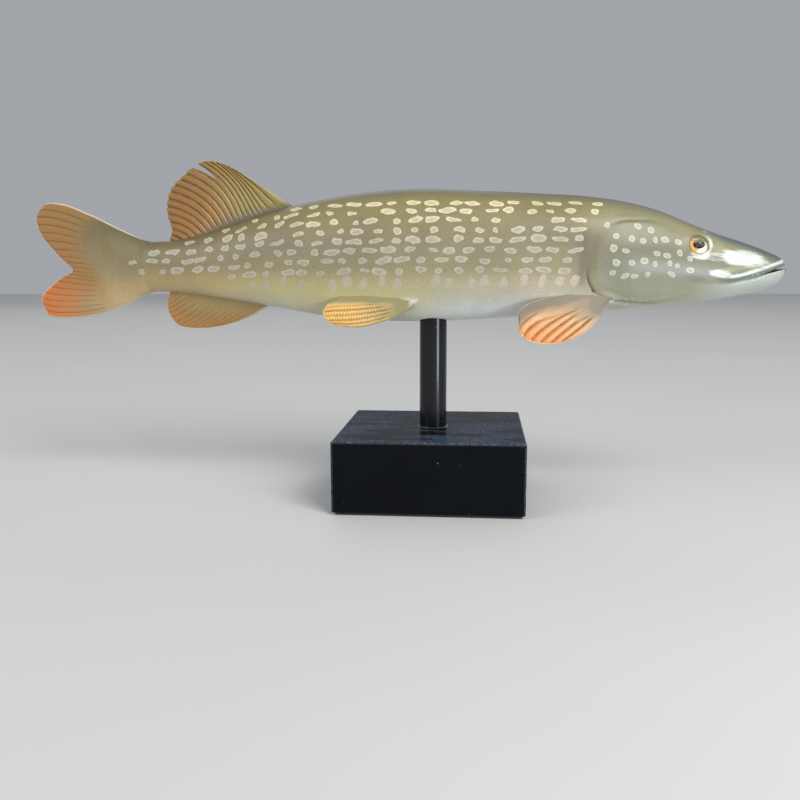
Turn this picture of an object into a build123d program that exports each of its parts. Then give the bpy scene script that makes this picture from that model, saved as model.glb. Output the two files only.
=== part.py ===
"""Pike swimbait shown on a rod and a square plinth.

Millimetres, +Z up. The origin is the centre of the plinth's underside. The fish points along +X and its
own middle plane is Y = 0. The fish turns on the rod and lifts off it. Its fins, eyes and sleeve are let
into the body, so each pocket is cut with the piece that fills it.
"""

from build123d import *

import os
from math import copysign, cos, radians, sin

os.makedirs("parts", exist_ok=True)

# ---- Driving dimensions -------------------------------------------------------------------------------
BASE_SIDE = 80.0
BLOCK_HEIGHT = 30.0
BLOCK_CHAMFER = 0.5
FELT_THICKNESS = 1.2
FELT_INSET = 1.5

ROD_DIAMETER = 12.0
ROD_SOCKET_DEPTH = 18.0
ROD_TOP_Z = 115.0
ROD_CHAMFER = 0.6

SCREW_DIAMETER = 6.0
SCREW_HEAD_DIAMETER = 10.0
SCREW_HEAD_HEIGHT = 5.0
SCREW_REACH = 12.0  # how far the screw goes into the rod
TAPPED_HOLE_SPARE = 2.0  # the rod's hole is this much deeper
SCREW_HOLE_CLEARANCE = 0.6
HEX_KEY_SIZE = 5.0
HEX_KEY_DEPTH = 2.6
WASHER_DIAMETER = 13.0
WASHER_THICKNESS = 1.2
COUNTERBORE_DIAMETER = 14.0
COUNTERBORE_DEPTH = 8.0

SLEEVE_WALL = 1.45
SLEEVE_BOTTOM_Z = 80.5
SLEEVE_CAP = 2.0
RUNNING_CLEARANCE = 0.05  # on the radius, between the rod and sleeve and between the sleeve and body

TAIL_THICKNESS = 3.2
DORSAL_THICKNESS = 2.4
ANAL_THICKNESS = 2.2
PAIRED_FIN_THICKNESS = 2.0
FIN_ROOT_DEPTH = 5.0
PIN_DIAMETER = 1.6
PIN_LENGTH = 10.0
DORSAL_PIN_TOPS = [(-76, 121), (-90, 117), (-104, 113)]  # X and Z
ANAL_PIN_TOPS = [(-92, 98.5), (-106, 100)]
TAIL_DOWEL_DIAMETER = 2.0
TAIL_DOWEL_LENGTH = 9.2
TAIL_DOWEL_SPACING = 9.0
TAIL_DOWEL_X = -117
PECTORAL_ROOT_RADIUS = 3.4
PELVIC_ROOT_RADIUS = 2.6
LEFT_PECTORAL_SHIFT = 2.4

EYE_DIAMETER = 8.0
EYE_SEAT = (110.3, -9.0, 110.4)  # the centre of the right socket's floor
EYE_AXIS = (0.16, -0.91, 0.38)
EYE_DISC_THICKNESS = 0.4
EYE_DOME_RISE = 2.3
EYE_SOCKET_REACH = 8.0

# ---- Heights that follow ------------------------------------------------------------------------------
BLOCK_BOTTOM_Z = FELT_THICKNESS
BLOCK_TOP_Z = BLOCK_BOTTOM_Z + BLOCK_HEIGHT
ROD_BOTTOM_Z = BLOCK_TOP_Z - ROD_SOCKET_DEPTH
COUNTERBORE_TOP_Z = BLOCK_BOTTOM_Z + COUNTERBORE_DEPTH
SCREW_SEAT_Z = COUNTERBORE_TOP_Z - WASHER_THICKNESS
SLEEVE_BORE_RADIUS = ROD_DIAMETER / 2 + RUNNING_CLEARANCE
SLEEVE_RADIUS = SLEEVE_BORE_RADIUS + SLEEVE_WALL
SLEEVE_TOP_Z = ROD_TOP_Z + SLEEVE_CAP

# ---- Body offsets: station along X, belly height, back height, half width --------------------------------
STATIONS = [
    (-146, 97.6, 107.4, 1.8),
    (-138, 94.2, 110.6, 3.0),
    (-128, 91.6, 113.2, 4.5),
    (-117, 90.9, 113.9, 6.0),
    (-104, 89.6, 116.3, 8.2),
    (-88, 87.3, 121.0, 11.2),
    (-70, 84.3, 126.5, 14.0),
    (-50, 80.8, 130.8, 16.6),
    (-28, 78.7, 134.0, 18.6),
    (-5, 78.2, 135.2, 19.5),
    (20, 79.2, 134.1, 19.6),
    (45, 80.6, 132.7, 19.0),
    (66, 82.0, 131.2, 18.2),
    (82, 83.7, 128.7, 16.8),
    (96, 85.1, 124.8, 14.6),
    (108, 86.3, 119.8, 12.3),
    (120, 87.8, 115.2, 10.2),
    (132, 90.0, 111.2, 8.6),
    (141, 92.4, 107.6, 7.2),
    (146.4, 95.6, 104.6, 5.0),
    (148.2, 98.2, 102.2, 2.4),
]
FULLNESS = 2.2  # the superellipse power of a cross-section: 2 is an ellipse, more is boxier
SECTION_POINTS = 8

MOUTH_GAP = [(150, 102.8), (150, 100.9), (146.5, 100.4), (137, 98), (146, 101.8)]  # X and Z
MOUTH_WIDTH = 20.0

# ---- Fin outlines, X and Z in the middle plane -----------------------------------------------------------
TAIL_UPPER = [(-124, 113.2), (-140, 118.6), (-155, 125.8), (-168, 130.5), (-175, 130.8), (-180.4, 126)]
TAIL_UPPER += [(-180, 119.5), (-174, 111), (-164.6, 101)]
TAIL_LOWER = [(-164.6, 100.4), (-172, 96.8), (-178, 92), (-180.6, 86), (-178, 80.6), (-168, 79)]
TAIL_LOWER += [(-155, 80.4), (-140, 84.8), (-124, 91)]
TAIL_TONGUE_X = -112
TAIL_TONGUE_HALF_HEIGHT = 8
TAIL_TONGUE_Z = 102.4

DORSAL_REAR = [(-119.5, 112.6), (-117.6, 117.5), (-120.4, 127), (-118.6, 137), (-112, 142.3)]
DORSAL_REAR += [(-106.4, 145.5)]
DORSAL_SPLIT = (-97.2, 140.2)
DORSAL_FRONT = [(-104.2, 148.4), (-96, 148), (-85, 143.2), (-75, 137), (-67, 131.3), (-62, 127.6)]
DORSAL_TENON = [(-68, 120.5), (-88, 114.5), (-104, 111.5), (-110, 111.5)]

ANAL_EDGE = [(-119, 91.4), (-120.6, 83), (-116, 75.9), (-105, 74.8), (-95, 76), (-85, 78.9), (-72, 86.2)]
ANAL_TENON = [(-84, 91), (-100, 93.6), (-110, 93.4)]

# ---- Paired fins, drawn flat: the first number runs back from the root, the second down ------------------
PECTORAL_OUTLINE = [(-4.5, -4), (0.5, 1.8), (8, 8.2), (20, 11), (32, 8.6), (39, 2.4), (36.5, -6), (31, -9.8)]
PECTORAL_OUTLINE += [(20, -8.8), (8, -6.6)]
PELVIC_OUTLINE = [(-3.4, -1.2), (2, 2.8), (14, 6.2), (26, 6.9), (35, 4), (37.6, -1), (33, -5.7), (24, -6.5)]
PELVIC_OUTLINE += [(10, -4.9), (0, -4.2)]


def full(value):
    """A sine or cosine pushed out from the ellipse towards the box."""
    return copysign(abs(value) ** (2 / FULLNESS), value)


def hull_section(low, high, half_width):
    """The points of one cross-section, as Y across the body and Z up."""
    middle = (low + high) / 2
    half_height = (high - low) / 2
    angles = [radians(360 * k / SECTION_POINTS) for k in range(SECTION_POINTS)]
    return [(half_width * full(cos(a)), middle + half_height * full(sin(a))) for a in angles]


# ---- Plinth -------------------------------------------------------------------------------------------
with BuildPart() as base_felt:
    with BuildSketch(Plane.XY):
        Rectangle(BASE_SIDE - 2 * FELT_INSET, BASE_SIDE - 2 * FELT_INSET)
    extrude(amount=FELT_THICKNESS)

with BuildPart() as base_block:
    with BuildSketch(Plane.XY.offset(BLOCK_BOTTOM_Z)):
        Rectangle(BASE_SIDE, BASE_SIDE)
    extrude(amount=BLOCK_HEIGHT)
    chamfer(base_block.edges(), BLOCK_CHAMFER)
    with Locations((0, 0, BLOCK_TOP_Z)):
        Hole(ROD_DIAMETER / 2, depth=ROD_SOCKET_DEPTH)
        Hole((SCREW_DIAMETER + SCREW_HOLE_CLEARANCE) / 2, depth=BLOCK_HEIGHT)
    with BuildSketch(Plane.XY.offset(BLOCK_BOTTOM_Z)):
        Circle(COUNTERBORE_DIAMETER / 2)
    extrude(amount=COUNTERBORE_DEPTH, mode=Mode.SUBTRACT)

with BuildPart() as rod:
    with BuildSketch(Plane.XY.offset(ROD_BOTTOM_Z)):
        Circle(ROD_DIAMETER / 2)
    extrude(amount=ROD_TOP_Z - ROD_BOTTOM_Z)
    chamfer(rod.edges().sort_by(Axis.Z)[-1], ROD_CHAMFER)
    with BuildSketch(Plane.XY.offset(ROD_BOTTOM_Z)):
        Circle(SCREW_DIAMETER / 2)
    extrude(amount=SCREW_REACH + TAPPED_HOLE_SPARE, mode=Mode.SUBTRACT)

with BuildPart() as rod_washer:
    with BuildSketch(Plane.XY.offset(SCREW_SEAT_Z)):
        Circle(WASHER_DIAMETER / 2)
        Circle((SCREW_DIAMETER + SCREW_HOLE_CLEARANCE) / 2, mode=Mode.SUBTRACT)
    extrude(amount=WASHER_THICKNESS)

with BuildPart() as rod_screw:
    with BuildSketch(Plane.XY.offset(SCREW_SEAT_Z - SCREW_HEAD_HEIGHT)):
        Circle(SCREW_HEAD_DIAMETER / 2)
    extrude(amount=SCREW_HEAD_HEIGHT)
    with BuildSketch(Plane.XY.offset(SCREW_SEAT_Z)):
        Circle(SCREW_DIAMETER / 2)
    extrude(amount=ROD_BOTTOM_Z + SCREW_REACH - SCREW_SEAT_Z)
    with BuildSketch(Plane.XY.offset(SCREW_SEAT_Z - SCREW_HEAD_HEIGHT)):
        RegularPolygon(HEX_KEY_SIZE / 2, 6, major_radius=False)
    extrude(amount=HEX_KEY_DEPTH, mode=Mode.SUBTRACT)

# ---- Sleeve that carries the fish on the rod -----------------------------------------------------------
with BuildPart() as belly_sleeve:
    with BuildSketch(Plane.XY.offset(SLEEVE_BOTTOM_Z)):
        Circle(SLEEVE_RADIUS)
    extrude(amount=SLEEVE_TOP_Z - SLEEVE_BOTTOM_Z)
    with BuildSketch(Plane.XY.offset(SLEEVE_BOTTOM_Z)):
        Circle(SLEEVE_BORE_RADIUS)
    extrude(amount=ROD_TOP_Z - SLEEVE_BOTTOM_Z, mode=Mode.SUBTRACT)

# ---- Pins and dowels of the middle fins -----------------------------------------------------------------
def upright_pins(tops):
    """Pins that run straight down from the given X and Z, in the middle plane."""
    with BuildPart() as pins:
        for x, z in tops:
            with BuildSketch(Plane.XY.offset(z)):
                with Locations((x, 0)):
                    Circle(PIN_DIAMETER / 2)
            extrude(amount=-PIN_LENGTH)
    return pins


dorsal_pins = upright_pins(DORSAL_PIN_TOPS)
anal_pins = upright_pins(ANAL_PIN_TOPS)

with BuildPart() as tail_dowels:
    with BuildSketch(Plane.XZ):
        with Locations((TAIL_DOWEL_X, TAIL_TONGUE_Z)):
            with GridLocations(0, TAIL_DOWEL_SPACING, 1, 2):
                Circle(TAIL_DOWEL_DIAMETER / 2)
    extrude(amount=TAIL_DOWEL_LENGTH / 2, both=True)

# ---- Fins on the middle plane, drilled for their pins ----------------------------------------------------
with BuildPart() as tail_fin:
    with BuildSketch(Plane.XZ):
        with BuildLine():
            Spline(*TAIL_UPPER)
            Line(TAIL_UPPER[-1], TAIL_LOWER[0])
            Spline(*TAIL_LOWER)
            Polyline(
                TAIL_LOWER[-1],
                (TAIL_TONGUE_X, TAIL_TONGUE_Z - TAIL_TONGUE_HALF_HEIGHT),
                (TAIL_TONGUE_X, TAIL_TONGUE_Z + TAIL_TONGUE_HALF_HEIGHT),
                TAIL_UPPER[0],
            )
        make_face()
    extrude(amount=TAIL_THICKNESS / 2, both=True)
    add(tail_dowels.part, mode=Mode.SUBTRACT)

with BuildPart() as dorsal_fin:
    with BuildSketch(Plane.XZ):
        with BuildLine():
            Spline(*DORSAL_REAR)
            Polyline(DORSAL_REAR[-1], DORSAL_SPLIT, DORSAL_FRONT[0])
            Spline(*DORSAL_FRONT)
            Polyline(DORSAL_FRONT[-1], *DORSAL_TENON, DORSAL_REAR[0])
        make_face()
    extrude(amount=DORSAL_THICKNESS / 2, both=True)
    add(dorsal_pins.part, mode=Mode.SUBTRACT)

with BuildPart() as anal_fin:
    with BuildSketch(Plane.XZ):
        with BuildLine():
            Spline(*ANAL_EDGE)
            Polyline(ANAL_EDGE[-1], *ANAL_TENON, ANAL_EDGE[0])
        make_face()
    extrude(amount=ANAL_THICKNESS / 2, both=True)
    add(anal_pins.part, mode=Mode.SUBTRACT)

# ---- Paired fins and their pins ---------------------------------------------------------------------------
# The right-hand fins' planes: X runs back along the fin, Y up, and Z into the body. The left-hand fins are
# built on the right and mirrored, and the left pectoral fin is set a little further forward.
PECTORAL_PLANE = Plane(origin=(72, -13.5, 88), x_dir=(-0.916, -0.229, -0.331), z_dir=(-0.090, 0.918, -0.386))
PECTORAL_LEFT_PLANE = Location((LEFT_PECTORAL_SHIFT, 0, 0)) * PECTORAL_PLANE
PELVIC_PLANE = Plane(origin=(-9, -15, 86), x_dir=(-0.993, -0.041, -0.110), z_dir=(-0.028, 0.992, -0.119))


def paired_fin(plane, outline, root_radius):
    """A flat fin in its own plane, with a round root that goes into the body and a hole for its pin."""
    with BuildPart() as fin:
        with BuildSketch(plane):
            with BuildLine():
                Spline(*[(back, -down) for back, down in outline], periodic=True)
            make_face()
        extrude(amount=PAIRED_FIN_THICKNESS / 2, both=True)
        with BuildSketch(plane):
            Circle(root_radius)
        extrude(amount=FIN_ROOT_DEPTH)
        with BuildSketch(plane):
            Circle(PIN_DIAMETER / 2)
        extrude(amount=FIN_ROOT_DEPTH, mode=Mode.SUBTRACT)
    return fin


def fin_pin(plane):
    """The pin through the root of one fin."""
    with BuildPart() as pin:
        with BuildSketch(plane):
            Circle(PIN_DIAMETER / 2)
        extrude(amount=PIN_LENGTH)
    return pin


def paired_pins(right_plane, left_plane):
    """The two pins, right and left, that fasten a pair of fins."""
    with BuildPart() as pins:
        add(fin_pin(right_plane).part)
        add(left_hand(fin_pin(left_plane)).part)
    return pins


def left_hand(right_hand):
    """The mirror image of a right-hand piece."""
    with BuildPart() as twin:
        mirror(right_hand.part, about=Plane.XZ)
    return twin


pectoral_fin_right = paired_fin(PECTORAL_PLANE, PECTORAL_OUTLINE, PECTORAL_ROOT_RADIUS)
pectoral_fin_left = left_hand(paired_fin(PECTORAL_LEFT_PLANE, PECTORAL_OUTLINE, PECTORAL_ROOT_RADIUS))
pectoral_pins = paired_pins(PECTORAL_PLANE, PECTORAL_LEFT_PLANE)

pelvic_fin_right = paired_fin(PELVIC_PLANE, PELVIC_OUTLINE, PELVIC_ROOT_RADIUS)
pelvic_fin_left = left_hand(pelvic_fin_right)
pelvic_pins = paired_pins(PELVIC_PLANE, PELVIC_PLANE)

# ---- Eyes: a printed disc on the floor of the socket, under a clear dome --------------------------------
EYE_PLANE = Plane(origin=EYE_SEAT, x_dir=(0.985, 0.173, 0), z_dir=EYE_AXIS)
EYE_RADIUS = EYE_DIAMETER / 2
DOME_RADIUS = (EYE_RADIUS**2 + EYE_DOME_RISE**2) / (2 * EYE_DOME_RISE)

with BuildPart() as eye_disc_right:
    with BuildSketch(EYE_PLANE):
        Circle(EYE_RADIUS)
    extrude(amount=EYE_DISC_THICKNESS)

with BuildPart() as eye_dome_right:
    with Locations(EYE_PLANE.offset(EYE_DISC_THICKNESS + EYE_DOME_RISE - DOME_RADIUS)):
        Sphere(DOME_RADIUS)
    split(bisect_by=EYE_PLANE.offset(EYE_DISC_THICKNESS), keep=Keep.TOP)

with BuildPart() as eye_sockets:
    with BuildSketch(EYE_PLANE):
        Circle(EYE_RADIUS)
    extrude(amount=EYE_SOCKET_REACH)
    mirror(about=Plane.XZ)

eye_disc_left = left_hand(eye_disc_right)
eye_dome_left = left_hand(eye_dome_right)

# ---- Body: a loft through the stations, less the pockets of everything let into it -----------------------
MIDDLE_INLAYS = [tail_fin, tail_dowels, dorsal_fin, dorsal_pins, anal_fin, anal_pins]
SIDE_INLAYS = [pectoral_fin_right, pectoral_fin_left, pectoral_pins]
SIDE_INLAYS += [pelvic_fin_right, pelvic_fin_left, pelvic_pins, eye_sockets]

with BuildPart() as body:
    for x, low, high, half_width in STATIONS:
        with BuildSketch(Plane(origin=(x, 0, 0), x_dir=(0, 1, 0), z_dir=(1, 0, 0))):
            with BuildLine():
                Spline(*hull_section(low, high, half_width), periodic=True)
            make_face()
    loft()
    with BuildSketch(Plane.XZ):
        with BuildLine():
            Polyline(*MOUTH_GAP, close=True)
        make_face()
    extrude(amount=MOUTH_WIDTH / 2, both=True, mode=Mode.SUBTRACT)
    with BuildSketch(Plane.XY.offset(SLEEVE_TOP_Z + RUNNING_CLEARANCE)):
        Circle(SLEEVE_RADIUS + RUNNING_CLEARANCE)
    extrude(amount=-(SLEEVE_TOP_Z - BLOCK_TOP_Z), mode=Mode.SUBTRACT)
    for inlay in MIDDLE_INLAYS + SIDE_INLAYS:
        add(inlay.part, mode=Mode.SUBTRACT)

# ---- Written pieces ---------------------------------------------------------------------------------
PIECES = {
    "base_felt": base_felt,
    "base_block": base_block,
    "rod": rod,
    "rod_washer": rod_washer,
    "rod_screw": rod_screw,
    "belly_sleeve": belly_sleeve,
    "body": body,
    "tail_fin": tail_fin,
    "tail_dowels": tail_dowels,
    "dorsal_fin": dorsal_fin,
    "dorsal_pins": dorsal_pins,
    "anal_fin": anal_fin,
    "anal_pins": anal_pins,
    "pectoral_fin_right": pectoral_fin_right,
    "pectoral_fin_left": pectoral_fin_left,
    "pectoral_pins": pectoral_pins,
    "pelvic_fin_right": pelvic_fin_right,
    "pelvic_fin_left": pelvic_fin_left,
    "pelvic_pins": pelvic_pins,
    "eye_disc_right": eye_disc_right,
    "eye_disc_left": eye_disc_left,
    "eye_dome_right": eye_dome_right,
    "eye_dome_left": eye_dome_left,
}
for name, piece in PIECES.items():
    piece.part.label = name
    export_step(piece.part, f"parts/{name}.step")
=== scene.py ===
"""The looks of the pike swimbait on its stand.

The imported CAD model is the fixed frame. Its body and fins are replaced by finer skins with the same
outlines; the stand and the fastenings keep their CAD shapes. Outlines are in millimetres in the frame's
own axes: +X to the snout, -Y to the fish's right-hand side, +Z up.
"""

from math import cos, pi, radians, sin

import bpy
import numpy as np
from mathutils import Matrix, Vector
from mathutils.kdtree import KDTree


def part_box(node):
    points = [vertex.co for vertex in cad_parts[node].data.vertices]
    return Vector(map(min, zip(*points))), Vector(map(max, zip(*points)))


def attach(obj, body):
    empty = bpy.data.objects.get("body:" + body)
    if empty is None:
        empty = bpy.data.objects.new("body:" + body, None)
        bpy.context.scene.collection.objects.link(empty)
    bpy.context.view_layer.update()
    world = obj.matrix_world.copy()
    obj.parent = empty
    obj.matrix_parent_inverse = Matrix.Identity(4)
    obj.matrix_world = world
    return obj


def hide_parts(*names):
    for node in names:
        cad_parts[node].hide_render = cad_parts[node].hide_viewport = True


MM = 0.001

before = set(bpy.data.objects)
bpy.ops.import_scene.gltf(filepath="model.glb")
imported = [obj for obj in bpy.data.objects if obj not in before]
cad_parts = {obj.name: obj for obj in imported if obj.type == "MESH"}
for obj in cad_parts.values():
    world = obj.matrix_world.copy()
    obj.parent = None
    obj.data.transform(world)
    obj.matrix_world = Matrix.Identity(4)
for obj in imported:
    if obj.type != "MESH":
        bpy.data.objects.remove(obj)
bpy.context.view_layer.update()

# ---- The body's shape, as in the CAD model: station along X, belly, back, half width ----
STATIONS = np.array([
    (-146, 97.6, 107.4, 1.8), (-138, 94.2, 110.6, 3.0), (-128, 91.6, 113.2, 4.5),
    (-117, 90.9, 113.9, 6.0), (-104, 89.6, 116.3, 8.2), (-88, 87.3, 121.0, 11.2),
    (-70, 84.3, 126.5, 14.0), (-50, 80.8, 130.8, 16.6), (-28, 78.7, 134.0, 18.6),
    (-5, 78.2, 135.2, 19.5), (20, 79.2, 134.1, 19.6), (45, 80.6, 132.7, 19.0),
    (66, 82.0, 131.2, 18.2), (82, 83.7, 128.7, 16.8), (96, 85.1, 124.8, 14.6),
    (108, 86.3, 119.8, 12.3), (120, 87.8, 115.2, 10.2), (132, 90.0, 111.2, 8.6),
    (141, 92.4, 107.6, 7.2), (146.4, 95.6, 104.6, 5.0), (148.2, 98.2, 102.2, 2.4),
])
FULLNESS = 2.2
TRUNK_STEP = 1.0  # between rings behind HEAD_FROM
HEAD_STEP = 0.5
HEAD_FROM = 58.0
AROUND = 208
CAP_RINGS = 5
SNOUT_CAP = 0.7
TAIL_CAP = 0.8
END_BULGE = 0.05  # how far the middle of each end stands past its last ring

# ---- Lines and marks on the head, X and Z ----
GILL_REAR = [(73, 119.2), (67.5, 116), (64.6, 110), (63.9, 103), (64.9, 96), (67.4, 91.4)]
GILL_LOWER = [(67.4, 91.4), (74, 88.7), (83.5, 86.8), (92, 86.3), (100, 87.6), (106.5, 89.9)]
GILL_TOP = [(72, 118.6), (80, 120.4), (90, 120.2), (98, 118.6)]
GILL_FRONT = [(112, 96), (108, 112)]
MOUTH_GAP = [(151, 103.0), (151, 100.7), (146.5, 100.4), (137, 98), (146, 101.8)]
MOUTH_CREASE = [(143, 100.5), (138, 98.4), (132, 96.3), (126, 94.9), (121, 94.4)]
UPPER_LIP = [(117.5, 97.2), (124, 97.3), (131, 98.8), (138, 101), (144, 102.9), (148.4, 104.2)]
UNDER_LIP = [(120, 95.7), (128, 96.6), (135, 98.5), (142, 101), (148, 103.0)]
SNOUT_STREAK = [(113.5, 116.3), (118, 115.9), (122.5, 114.1), (126.8, 111.2), (131, 109.6)]
LIP_FOLD = [(121.5, 102.2), (126, 101.7), (131, 101.8)]
EYE_SOCKET_RADIUS = 4.05
EYE_SOCKET_DEPTH = 0.35
SLEEVE_CLEARANCE = 0.05
CUTTER_SIDES = 96


# ---- Curves and fields ----
def ease(low, high, value):
    """0 at low, 1 at high and a smooth step between them, which falls where low is the larger."""
    t = np.clip((value - low) / (high - low), 0, 1)
    return t * t * (3 - 2 * t)


def through(knots, values, places):
    """Values at the given places on a smooth curve through the knots."""
    slopes = np.gradient(values, knots)
    k = np.clip(np.searchsorted(knots, places) - 1, 0, len(knots) - 2)
    span = knots[k + 1] - knots[k]
    t = (places - knots[k]) / span
    start = (1 + 2 * t) * (1 - t) ** 2 * values[k] + t * (1 - t) ** 2 * span * slopes[k]
    end = t * t * (3 - 2 * t) * values[k + 1] - t * t * (1 - t) * span * slopes[k + 1]
    return start + end


def at_stations(values, x):
    """The stations' values at places along X. Past either end they stay the end's."""
    return through(STATIONS[:, 0], values, np.clip(x, STATIONS[0, 0], STATIONS[-1, 0]))


def along(points, places, even=False):
    """Points at shares 0 to 1 of a smooth curve, by its length or, if even, by the count of its points."""
    points = np.array(points, float)
    lengths = np.linalg.norm(np.diff(points, axis=0), axis=1)
    knots = np.concatenate([[0], np.cumsum(lengths)]) / lengths.sum()
    if even:
        knots = np.linspace(0, 1, len(points))
    return np.stack([through(knots, points[:, k], np.asarray(places)) for k in range(points.shape[1])], -1)


def line_distance(x, z, points, pieces=36):
    """Each place's distance from a smooth line, and the share of the line where it is nearest."""
    line = along(points, np.linspace(0, 1, pieces + 1))
    best = np.full(x.shape, 1e9)
    share = np.zeros(x.shape)
    for k in range(pieces):
        a, b = line[k], line[k + 1]
        run = b - a
        t = np.clip(((x - a[0]) * run[0] + (z - a[1]) * run[1]) / (run @ run), 0, 1)
        d = np.hypot(x - a[0] - t * run[0], z - a[1] - t * run[1])
        nearer = d < best
        best = np.where(nearer, d, best)
        share = np.where(nearer, (k + t) / pieces, share)
    return best, share


def inside(x, z, polygon):
    """1 inside a closed outline, 0 outside."""
    found = np.zeros(x.shape, bool)
    for (ax, az), (bx, bz) in zip(polygon, polygon[1:] + polygon[:1]):
        if az != bz:
            found ^= ((az > z) != (bz > z)) & (x < (bx - ax) * (z - az) / (bz - az) + ax)
    return found.astype(float)


def blob(x, z, centre, radii, tilt=0.0):
    """1 in the middle of a soft tilted ellipse, fading to 0 at its edge."""
    c, s = cos(radians(tilt)), sin(radians(tilt))
    dx, dz = x - centre[0], z - centre[1]
    r = np.hypot((dx * c + dz * s) / radii[0], (dz * c - dx * s) / radii[1])
    return ease(1.0, 0.35, r)


# ---- Meshes ----
def add_to_scene(name, data):
    obj = bpy.data.objects.new(name, data)
    bpy.context.scene.collection.objects.link(obj)
    return obj


def new_object(name, points_mm, faces, materials=()):
    """A smooth-shaded object from points in millimetres."""
    mesh = bpy.data.meshes.new(name)
    mesh.from_pydata((np.asarray(points_mm) * MM).tolist(), [], faces)
    mesh.shade_smooth()
    for material in materials:
        mesh.materials.append(material)
    return add_to_scene(name, mesh)


def set_attribute(obj, name, vectors):
    """Stores one vector for each vertex, for the materials to read."""
    layer = obj.data.attributes.new(name, "FLOAT_VECTOR", "POINT")
    layer.data.foreach_set("vector", np.asarray(vectors, np.float32).ravel())


def tube_faces(rings, count):
    """Quads between closed rings of the same count, numbered ring by ring."""
    faces = []
    for i in range(rings - 1):
        for j in range(count):
            k = (j + 1) % count
            faces.append(((i + 1) * count + j, (i + 1) * count + k, i * count + k, i * count + j))
    return faces


def nearest_vertices(obj, points_mm):
    """For each vertex of the object, the number of the nearest of the given points."""
    tree = KDTree(len(points_mm))
    for k, point in enumerate(points_mm):
        tree.insert(point * MM, k)
    tree.balance()
    return np.array([tree.find(vertex.co)[1] for vertex in obj.data.vertices])


def prism(outline, low, high):
    """Points and faces of a closed prism: a 2-D outline between two places along its third axis."""
    n = len(outline)
    points = [(*p, low) for p in outline] + [(*p, high) for p in outline]
    faces = [tuple(range(n))[::-1], tuple(range(n, 2 * n))]
    faces += [(k, (k + 1) % n, n + (k + 1) % n, n + k) for k in range(n)]
    return points, faces


def apply_modifiers(obj):
    """Gives the object the mesh that its modifiers make."""
    graph = bpy.context.evaluated_depsgraph_get()
    made = bpy.data.meshes.new_from_object(obj.evaluated_get(graph))
    obj.modifiers.clear()
    obj.data = made


def place(obj, body, replaced):
    """Rides a finished piece on its body and hides the CAD node that it stands for."""
    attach(obj, body)
    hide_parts(replaced)


# ---- Material building blocks ----
def arithmetic(operation, swapped=False):
    """A method for Value that adds a math node."""

    def calculate(value, other):
        pair = (other, value) if swapped else (value, other)
        return value.shader.math(operation, *pair)

    return calculate


class Value:
    """An output in a material's node tree. Arithmetic and comparisons with it add math nodes."""

    def __init__(self, shader, socket):
        self.shader, self.socket = shader, socket

    __add__ = __radd__ = arithmetic("ADD")
    __mul__ = __rmul__ = arithmetic("MULTIPLY")
    __sub__ = arithmetic("SUBTRACT")
    __rsub__ = arithmetic("SUBTRACT", swapped=True)
    __truediv__ = arithmetic("DIVIDE")
    __pow__ = arithmetic("POWER")
    __gt__ = arithmetic("GREATER_THAN")
    __lt__ = arithmetic("LESS_THAN")


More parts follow.
